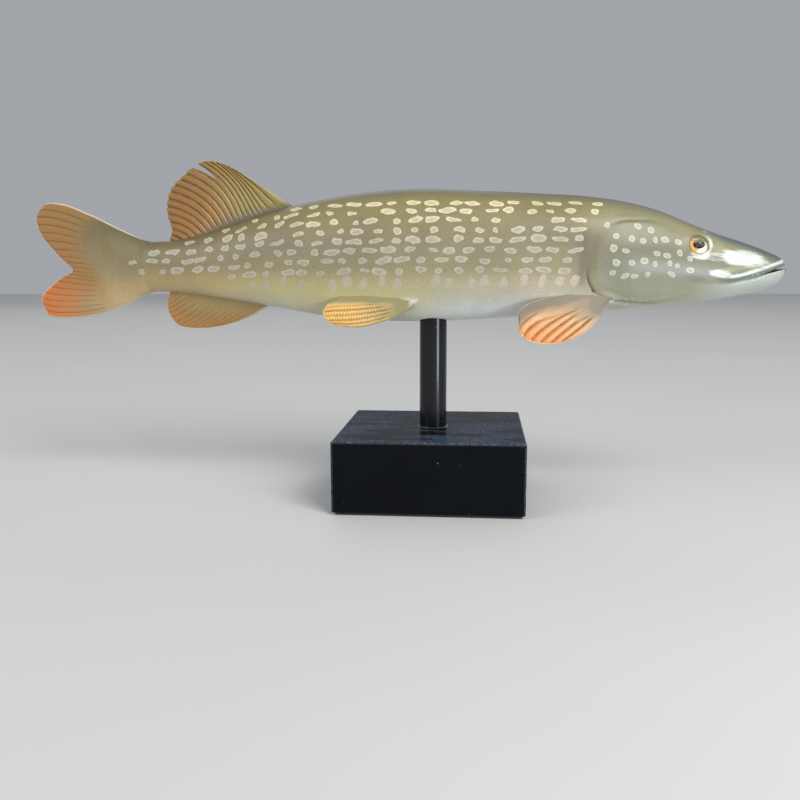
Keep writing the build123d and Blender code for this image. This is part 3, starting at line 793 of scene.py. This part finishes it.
def airbrushed(s):
    """The body's colour, with its spots, and how much of each place is spot."""
    x, t, h = s.attribute("skin")
    dark, pearl_and_highlight, painted_shade = s.attribute("marks")
    snout, jaw, belly = s.attribute("zones")
    teal, gold, glint_specks = s.attribute("lines")
    where = s.position()
    ahead, side, high = s.split(where)
    left = side > 0.0

    soft = s.noise(where, 0.045, 2.0)
    mist = s.noise(where, 2.4, 4.0, 0.7)
    shade = h + (soft - 0.5) * 0.1
    trunk = s.ramp(shade, TRUNK_COLOURS)
    tail = s.ramp(shade, TAIL_COLOURS)
    head = s.ramp(shade, HEAD_COLOURS)
    colour = s.mix(s.step(x, -60, -118), trunk, tail)
    below_flank = s.mix(s.step(h, 0.13, 0.32), BELLY_WHITE, BELLY_GREY)
    # GILL_SHADE is painted shade behind the gill cover and at the jaw's corner.
    colour = s.coats(colour, (s.step(x, 60, 76), head), (belly * 0.9, below_flank), (painted_shade * 0.7, GILL_SHADE),
                     (jaw * 0.85, JAW_GREY), (gold * 0.6, OLD_GOLD), (snout, SNOUT_BLUE))

    wave = s.noise(s.join(x, t, left * 40.0), 0.3, 1.0)
    wave_2 = s.noise(s.join(x, t, left * 40.0 + 17.0), 0.3, 1.0)
    px = x + (wave - 0.5) * 2.4
    pt = t + (wave_2 - 0.5) * 2.0
    seed = left * 31.0

    def on_flank(mx, mt):
        top = s.math("MINIMUM", (mx + 140.0) * 0.26 + 3.6, 24.2)
        low = s.step(mx, -100.0, -84.0, -4.4, -8.0)
        behind_gill = (mx + s.math("MAXIMUM", mt, 14.0) * -1.4) < 43.0
        behind_gill = s.math("MINIMUM", behind_gill, mx < 76.0)
        return (mx > -136.0) * behind_gill * limits(mt, low, top)

    def on_lower_flank(mx, mt):
        return limits(mx, -84.0, 60.0) * limits(mt, -16.5, -9.0)

    def on_belly_side(mx, mt):
        return limits(mx, 14.0, 62.0) * limits(mt, -23.5, -16.5)

    def on_cheek(mx, mt):
        behind_eye = (mx + mt * 0.9) < 110.0
        return limits(mx, 70.5, 109.0) * limits(mt, -9.0, mx * -0.2 + 30.5) * behind_eye

    lean = s.step(x, -45, -70) * s.step(t, 2, 12) * 0.42
    flank, flank_core = spots(s, px, pt, seed + 5.0, (8.4, 4.2), (1.3, 3.6), (0.85, 1.42), (lean, 0.4),
                              on_flank, keep=0.985)
    lower, _ = spots(s, px, pt, seed + 7.0, (7.3, 7.4), (1.3, 1.9), (2.1, 3.2), (-0.32, 0.9), on_lower_flank,
                     keep=0.88)
    below, _ = spots(s, px, pt, seed + 11.0, (8.2, 7.0), (1.4, 2.2), (2.0, 3.2), (-0.35, 0.8), on_belly_side,
                     keep=0.7)
    cheek_x = x + (wave - 0.5)
    cheek_t = t + (wave_2 - 0.5)
    cheek, cheek_core = spots(s, cheek_x, cheek_t, seed + 15.0, (5.3, 4.7), (0.9, 1.7), (0.85, 1.4),
                              (0.0, 0.9), on_cheek, wander=(0.55, 0.55), keep=0.92)

    patchy = s.step(mist, 0.25, 0.6, 0.76, 1.0)
    cream = s.mix(s.step(t, 0, 24), SPOT_LOW, SPOT_HIGH)
    core = s.mix(s.step(t, 0, 24), SPOT_LOW_CORE, SPOT_HIGH_CORE)
    rosy = s.mix(s.step(x, 0, 50), OVAL_GREY, OVAL_ROSE)
    flank_paint = s.mix(flank_core * 0.85, cream, core)
    cheek_paint = s.mix(cheek_core * 0.7, CHEEK_SPOT, CHEEK_CORE)
    colour = s.coats(colour, (lower * 0.62 * patchy, rosy), (below * 0.5 * patchy, rosy),
                     (flank * patchy, flank_paint), (cheek * patchy * 0.85, cheek_paint))

    # Pearl strokes, partly painted highlight, the lip's teal, painted glints and the painted shade of the
    # creases.
    strokes = s.noise(s.join(ahead * 0.16, side, high + ahead * 0.22), 1.1, 3.0)
    brushed = s.step(pearl_and_highlight + (strokes - 0.5) * 1.3, 0.1, 1.05) * s.step(pearl_and_highlight, 0.0, 0.4)
    specks = s.step(s.noise(where, 1.3, 1.0), 0.55, 0.62)
    colour = s.coats(colour, (brushed, PEARL_AND_GLINT), (teal * 0.75, LIP_TEAL), (glint_specks * specks * 0.8, PEARL_AND_GLINT),
                     (dark * 0.9, CREASE_SHADE))
    grain = s.step(mist, 0.3, 0.7, 0.8, 1.12) * s.step(soft, 0.35, 0.65, 0.93, 1.07)
    colour = s.mix(1.0, colour, s.join(grain, grain, grain), "MULTIPLY")
    return colour, s.math("MAXIMUM", flank, cheek), mist


def body_paint():
    """Airbrushed olive, gold and white paint, the white partly painted highlight, with hand-painted spots,
    under a clear coat.
    """
    s = Shader("pike_paint")
    colour, spotted, mist = airbrushed(s)
    fine = s.noise(s.position(), 3.2, 3.0, 0.6)
    s.bump(spotted * 0.7 + fine * 0.5, 0.05, 0.7)
    rough = s.step(mist, 0.3, 0.7, 0.4, 0.52) + spotted * 0.05
    return s.finish(Base_Color=colour, Roughness=rough, Coat_Weight=0.25, Coat_Roughness=0.24)


def core_material():
    """The dark cast resin that shows in the mouth, the bore and the eye sockets."""
    s = Shader("dark_resin")
    speck = s.noise(s.position(), 1.6, 4.0, 0.6)
    colour = s.mix(speck, (0.018, 0.014, 0.012), (0.05, 0.04, 0.032))
    s.bump(speck, 0.08)
    return s.finish(Base_Color=colour, Roughness=s.step(speck, 0, 1, 0.5, 0.75))


# ---- Paint of the fins ----
def fin_paint(name, root, middle, edge, groove, rim, groove_shade_strength=0.75, rim_width=0.03, lower=None,
              lower_from=(0.40, 0.66), band=None, turns=(0.22, 0.60), glint=False, from_body=False):
    """Washes of paint from root to edge, with painted shade in the grooves between rays, painted highlight on
    their crests and a pale rim that is partly painted highlight.

    root, middle, edge, groove and rim are colours: groove is that of the painted shade in the grooves, and
    rim that of the pale rim. lower gives other middle and edge colours for the rays past lower_from, and band
    a share of the width over which the root's colour gives way. turns are the places where the root's colour
    ends and the middle's begins. glint paints a highlight, a pale dab, on the root.
    from_body carries the body's paint on to where the rays rise.
    """
    s = Shader(name)
    u, v, grooved = s.attribute("fin")
    risen, past, _ = s.attribute("rise")
    where = s.position()
    soft = s.noise(where, 0.16, 2.0)
    mist = s.noise(where, 2.2, 4.0, 0.7)
    wash = u * s.step(v, *band, 0.15, 1.0) if band else u
    wash = wash + (soft - 0.5) * (turns[0] + 0.05)
    colour = s.ramp(wash, [(0.0, root), (turns[0], root), (turns[1], middle), (1.0, edge)])
    if lower:
        other = s.ramp(wash, [(0.0, root), (turns[0] * 1.4, root), (turns[1], lower[0]), (1.0, lower[1])])
        colour = s.mix(s.step(v, *lower_from), colour, other)
    if from_body:
        body, _, _ = airbrushed(s)
        patch = past + (soft - 0.5) * 0.25
        patch = patch + (mist - 0.5) * 0.12
        colour = s.mix(s.step(patch, -0.14, 0.16), body, colour)
    # Painted shade in the grooves between the rays, stronger in patches.
    painted_groove_shade = s.step(grooved, 0.25, 0.9) * s.step(s.noise(where, 0.35, 2.0), 0.35, 0.6, 0.45, 1.0)
    colour = s.mix(painted_groove_shade * groove_shade_strength, colour, groove)
    # Painted highlight on the rays' crests, where they have risen.
    crest = s.step(grooved, 0.22, 0.0) * risen
    painted_crest_light = s.mix(1.0, colour, (1.22, 1.18, 1.10), "MULTIPLY")
    colour = s.mix(crest * 0.45, colour, painted_crest_light)
    # A pale rim near the edges, in patches: partly edge paint, partly painted highlight on the rounded edge.
    near_rim = s.math("MINIMUM", s.math("MINIMUM", 1.0 - u, v), 1.0 - v)
    rim_paint_and_highlight = s.step(near_rim, rim_width, rim_width * 0.25) * s.step(mist, 0.25, 0.5, 0.55, 1.0)
    colour = s.mix(rim_paint_and_highlight * s.step(u, 0.12, 0.3), colour, rim)
    # A painted highlight, a pale dab, on the root.
    if glint:
        dab = s.step(u + mist * 0.05, 0.13, 0.09) * s.step(v, 0.85, 0.5)
        colour = s.mix(dab * 0.7, colour, PEARL_AND_GLINT)
    grain = s.step(mist, 0.3, 0.7, 0.88, 1.1)
    colour = s.mix(1.0, colour, s.join(grain, grain, grain), "MULTIPLY")
    s.bump(grooved * -0.4 + mist * 0.6, 0.06, 0.6)
    return s.finish(Base_Color=colour, Roughness=s.step(mist, 0.3, 0.7, 0.36, 0.5), Coat_Weight=0.3,
                    Coat_Roughness=0.2)


# ---- Eyes ----
def iris_material(side):
    """A printed disc: an oval black pupil in a golden ring, with a painted reflection that pales the ring
    towards the snout and below.
    """
    s = Shader("iris_" + ("right" if side < 0 else "left"))
    centre, _ = eye_place()
    centre = (centre[0], -side * centre[1], centre[2])
    offset = s.node("VectorMath", [(0, s.position()), (1, centre)], operation="SUBTRACT")
    forward, across, up = s.split(offset)
    mist = s.noise(s.position(), 1.8, 4.0, 0.6)
    long_way = (forward - 0.15) / 2.15
    high_way = (up - 0.1) / 1.55
    pupil = s.math("SQRT", long_way ** 2.0 + high_way ** 2.0)
    ring = s.math("SQRT", forward ** 2.0 + (up ** 2.0 + across ** 2.0))
    gold = s.mix(mist, (0.62, 0.30, 0.06), (0.80, 0.47, 0.13))
    # Painted reflection of the lens: the ring pales towards the snout and below.
    pale = s.step(forward + up * -0.6, 0.2, 1.8)
    outline = s.step(ring, 3.2, 3.9) * s.step(forward, 2.0, -0.5)
    colour = s.coats(gold, (pale, (0.86, 0.82, 0.66)), (outline, (0.30, 0.17, 0.06)),
                     (s.step(pupil, 1.12, 0.92), (0.006, 0.006, 0.01)))
    s.bump(mist, 0.03)
    return s.finish(Base_Color=colour, Roughness=s.step(mist, 0.3, 0.7, 0.5, 0.6), Specular_IOR_Level=0.05)


def lens_material():
    """Clear cast resin with the faintest waviness, which lets lamps light the disc under it."""
    s = Shader("clear_lens")
    wave = s.noise(s.position(), 0.5, 2.0)
    s.bump(wave, 0.004, 0.3)
    s.finish(Base_Color=(1.0, 1.0, 1.0), Roughness=s.step(wave, 0.3, 0.7, 0.02, 0.07), IOR=1.22,
             Transmission_Weight=1.0, Specular_IOR_Level=0.1)
    clear = s.node("BsdfTransparent")
    in_shadow = s.node("LightPath", output="Is Shadow Ray")
    mixed = s.node("MixShader", [(0, in_shadow), (1, Value(s, s.surface.outputs[0])), (2, clear)])
    s.feed(s.tree.nodes["Material Output"].inputs["Surface"], mixed)
    return s.material


# ---- Stand ----
def plinth_material():
    """Polished black acrylic: dust and wiped smears on top, tinted blue as a painted sheen; a pale ring at
    the rod's foot, partly dust and partly a painted glint; and pale edges, partly scuffs, partly painted
    highlight.
    """
    s = Shader("black_acrylic")
    _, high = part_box("base_block")
    where = s.position()
    x, y, z = s.split(where)
    half = high.x / MM
    top = high.z / MM
    facing_up = s.step(z, top - 0.4, top - 0.05)
    edge_x = half - s.math("ABSOLUTE", x)
    edge_y = half - s.math("ABSOLUTE", y)
    edge_z = top - z
    near_two = edge_x + edge_y + edge_z - s.math("MAXIMUM", s.math("MAXIMUM", edge_x, edge_y), edge_z)
    cloud = s.noise(where, 0.05, 3.0, 0.6)
    stretched = s.join(x * 0.35, y, z)
    smear = s.noise(stretched, 0.09, 3.0, 0.55)
    dust = s.noise(where, 1.5, 5.0, 0.75)
    speck = s.noise(where, 0.8, 1.0)
    # Pale edges: partly scuffs, partly a painted highlight where the edges catch the light.
    scuff_and_edge_light = s.step(near_two, 1.1, 0.15) * s.step(dust, 0.42, 0.62)
    # Dust and smears on top, tinted blue as a painted sheen.
    smear_and_sheen = facing_up * (s.step(smear, 0.42, 0.54) * s.step(dust, 0.38, 0.62, 0.2, 1.0))
    from_rod = s.math("SQRT", x ** 2.0 + y ** 2.0)
    # A pale ring at the rod's foot: partly dust, partly a painted glint.
    foot = facing_up * s.step(from_rod, 7.2, 6.1) * s.step(dust, 0.4, 0.55)
    grit = s.step(s.noise(where, 1.1, 1.0), 0.66, 0.72)
    bright = facing_up * (grit * s.step(smear, 0.4, 0.52))
    colour = s.mix(cloud * 0.5, (0.004, 0.0045, 0.006), (0.010, 0.012, 0.016))
    colour = s.coats(colour, (smear_and_sheen * 0.85, (0.065, 0.092, 0.145)), (bright * 0.7, (0.30, 0.34, 0.40)),
                     (scuff_and_edge_light * 0.65, (0.20, 0.24, 0.30)), (foot * 0.8, (0.42, 0.45, 0.50)),
                     (s.step(speck, 0.775, 0.79) * 0.6, (0.30, 0.33, 0.38)))
    rough = s.step(cloud, 0.3, 0.7, 0.1, 0.17) + (smear_and_sheen * 0.35 + scuff_and_edge_light * 0.3)
    s.bump(dust + smear_and_sheen * 0.8, 0.03, 0.5)
    return s.finish(Base_Color=colour, Roughness=rough, Specular_IOR_Level=0.015)


def rod_material():
    """Gloss black rod with faint lengthwise drawing marks and a few dust specks."""
    s = Shader("gloss_black_rod")
    where = s.position()
    x, y, z = s.split(where)
    drawn = s.noise(s.join(x, y, z * 0.02), 1.6, 3.0)
    speck = s.noise(where, 1.1, 1.0)
    colour = s.mix(drawn, (0.003, 0.003, 0.004), (0.007, 0.008, 0.011))
    colour = s.mix(s.step(speck, 0.77, 0.79) * 0.5, colour, (0.3, 0.32, 0.36))
    s.bump(drawn, 0.015, 0.5)
    return s.finish(Base_Color=colour, Roughness=s.step(drawn, 0.3, 0.7, 0.14, 0.22), Specular_IOR_Level=0.3)


def metal_material(name, light, dark):
    """Machined metal with fine rings round the vertical axis."""
    s = Shader(name)
    where = s.position()
    x, y, z = s.split(where)
    rings = s.noise(s.join(x * 0.1, y * 0.1, z), 4.0, 3.0)
    stain = s.noise(where, 0.25, 3.0)
    colour = s.mix(s.step(stain, 0.35, 0.7), light, dark)
    s.bump(rings, 0.02, 0.6)
    return s.finish(Base_Color=colour, Metallic=1.0, Roughness=s.step(rings, 0.3, 0.7, 0.25, 0.42))


def felt_material():
    """Pressed black felt with pale stray fibres."""
    s = Shader("black_felt")
    where = s.position()
    fibres = s.noise(where, 3.0, 6.0, 0.8)
    cloud = s.noise(where, 0.3, 3.0)
    colour = s.mix(fibres * cloud, (0.01, 0.01, 0.011), (0.085, 0.085, 0.09))
    s.bump(fibres, 0.25)
    return s.finish(Base_Color=colour, Roughness=0.95, Sheen_Weight=0.3, Sheen_Roughness=0.5)


# ---- Studio ----
CAMERA_PLACE = Vector((20.4, -379.8, 101.5)) * MM
CAMERA_YAW = radians(5.31)  # to the left of +Y
CAMERA_PITCH = radians(8.77)  # below the horizon
CAMERA_ROLL = radians(0.18)
CAMERA_VIEW = radians(50.06)
FLOOR_HALF = 3000
LIT_CENTRE = (0.0, 0.0, 0.105)


def add_camera():
    data = bpy.data.cameras.new("camera")
    data.sensor_fit = "HORIZONTAL"
    data.angle = CAMERA_VIEW
    data.clip_start = 0.01
    camera = add_to_scene("camera", data)
    turn = Matrix.Rotation(CAMERA_YAW, 4, "Z") @ Matrix.Rotation(pi / 2 - CAMERA_PITCH, 4, "X")
    camera.matrix_world = Matrix.Translation(CAMERA_PLACE) @ turn @ Matrix.Rotation(-CAMERA_ROLL, 4, "Z")
    bpy.context.scene.camera = camera


def add_softbox(name, place_m, target_m, size, power, colour=(1, 1, 1)):
    data = bpy.data.lights.new(name, "AREA")
    data.shape = "RECTANGLE"
    data.size, data.size_y = size
    data.energy = power
    data.color = colour
    light = add_to_scene(name, data)
    aim = (Vector(target_m) - Vector(place_m)).to_track_quat("-Z", "Y")
    light.matrix_world = Matrix.Translation(Vector(place_m)) @ aim.to_matrix().to_4x4()
    light.visible_camera = False


def add_studio():
    """A pale floor, a soft world and four softboxes."""
    s = Shader("pale_floor")
    where = s.position()
    cloud = s.noise(where, 0.004, 3.0)
    s.finish(Base_Color=s.mix(cloud, (0.66, 0.655, 0.64), (0.72, 0.715, 0.70)), Roughness=0.7)
    corners = [(x * FLOOR_HALF, y * FLOOR_HALF, 0) for x, y in ((-1, -1), (1, -1), (1, 1), (-1, 1))]
    floor = new_object("floor", corners, [(0, 1, 2, 3)], [s.material])
    world = bpy.data.worlds.new("studio")
    world.use_nodes = True
    sky = world.node_tree.nodes["Background"]
    sky.inputs["Color"].default_value = (0.80, 0.83, 0.88, 1)
    sky.inputs["Strength"].default_value = 0.45
    bpy.context.scene.world = world
    add_softbox("key", (1.0, -1.24, 1.24), LIT_CENTRE, (0.9, 1.2), 29.0, (1.0, 0.99, 0.96))
    add_softbox("strip", (0.28, -0.29, 0.03), (0, 0, 0.055), (0.09, 0.11), 0.6, (0.80, 0.89, 1.0))
    add_softbox("fill", (-1.5, -1.2, 0.9), LIT_CENTRE, (1.2, 1.2), 10.0, (0.95, 0.97, 1.0))
    add_softbox("back", (-0.6, 1.6, 1.4), LIT_CENTRE, (1.6, 1.0), 4.5)
    bpy.context.scene.view_settings.view_transform = "Standard"


# ---- The pieces ----
add_camera()
add_studio()
make_skin(body_paint(), core_material())

tail_paint = fin_paint("tail_paint", (0.26, 0.20, 0.10), (0.25, 0.15, 0.045), (0.30, 0.14, 0.03),
                       (0.10, 0.05, 0.016), (0.66, 0.56, 0.42), 0.6, 0.018,
                       ((0.34, 0.21, 0.085), (0.54, 0.13, 0.012)), (0.60, 0.88), from_body=True)
# The dorsal fin's dark grey root colour is painted shade along its base.
dorsal_paint = fin_paint("dorsal_paint", (0.15, 0.135, 0.09), (0.30, 0.15, 0.035), (0.26, 0.12, 0.028),
                         (0.075, 0.034, 0.009), (0.50, 0.38, 0.22), 0.8, 0.016,
                         ((0.27, 0.21, 0.05), (0.25, 0.145, 0.04)), turns=(0.05, 0.22))
anal_paint = fin_paint("anal_paint", (0.30, 0.22, 0.085), (0.27, 0.155, 0.04), (0.36, 0.15, 0.03),
                       (0.13, 0.07, 0.02), (0.58, 0.44, 0.25), 0.45)
pectoral_paint = fin_paint("pectoral_paint", (0.14, 0.11, 0.06), (0.52, 0.28, 0.11), (0.68, 0.22, 0.045),
                           (0.15, 0.06, 0.018), (0.72, 0.60, 0.42), 0.8, 0.022, band=(0.02, 0.36))
pelvic_paint = fin_paint("pelvic_paint", (0.28, 0.245, 0.115), (0.70, 0.46, 0.155), (0.80, 0.44, 0.11),
                         (0.28, 0.13, 0.03), (0.70, 0.58, 0.36), 0.7, 0.022, band=(0.12, 0.42), glint=True)

for fin, node, paint in (
    (TAIL, "tail_fin", tail_paint),
    (DORSAL, "dorsal_fin", dorsal_paint),
    (ANAL, "anal_fin", anal_paint),
):
    place(fin.build(f"{node}_skin", in_middle_plane, paint), "fish", node)
for fin, kind, planes, paint in (
    (PECTORAL, "pectoral", PECTORAL_PLANES, pectoral_paint),
    (PELVIC, "pelvic", PELVIC_PLANES, pelvic_paint),
):
    for side, hand, plane in ((-1, "right", planes[0]), (1, "left", planes[1])):
        skin = fin.build(f"{kind}_fin_{hand}_skin", in_plane(*plane, side), paint, flip=side > 0)
        place(skin, "fish", f"{kind}_fin_{hand}")

# ---- Materials of the CAD nodes that show as they are ----
steel = metal_material("bright_steel", (0.62, 0.62, 0.64), (0.45, 0.45, 0.47))
lens = lens_material()
NODE_MATERIALS = {
    "base_felt": felt_material(),
    "base_block": plinth_material(),
    "rod": rod_material(),
    "belly_sleeve": metal_material("turned_brass", (0.78, 0.58, 0.26), (0.55, 0.38, 0.15)),
    "eye_disc_right": iris_material(-1),
    "eye_disc_left": iris_material(1),
    "eye_dome_right": lens,
    "eye_dome_left": lens,
}
for name in ("rod_washer", "rod_screw", "tail_dowels", "dorsal_pins", "anal_pins", "pectoral_pins",
             "pelvic_pins"):
    NODE_MATERIALS[name] = steel
for name, material in NODE_MATERIALS.items():
    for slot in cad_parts[name].material_slots:
        slot.material = material
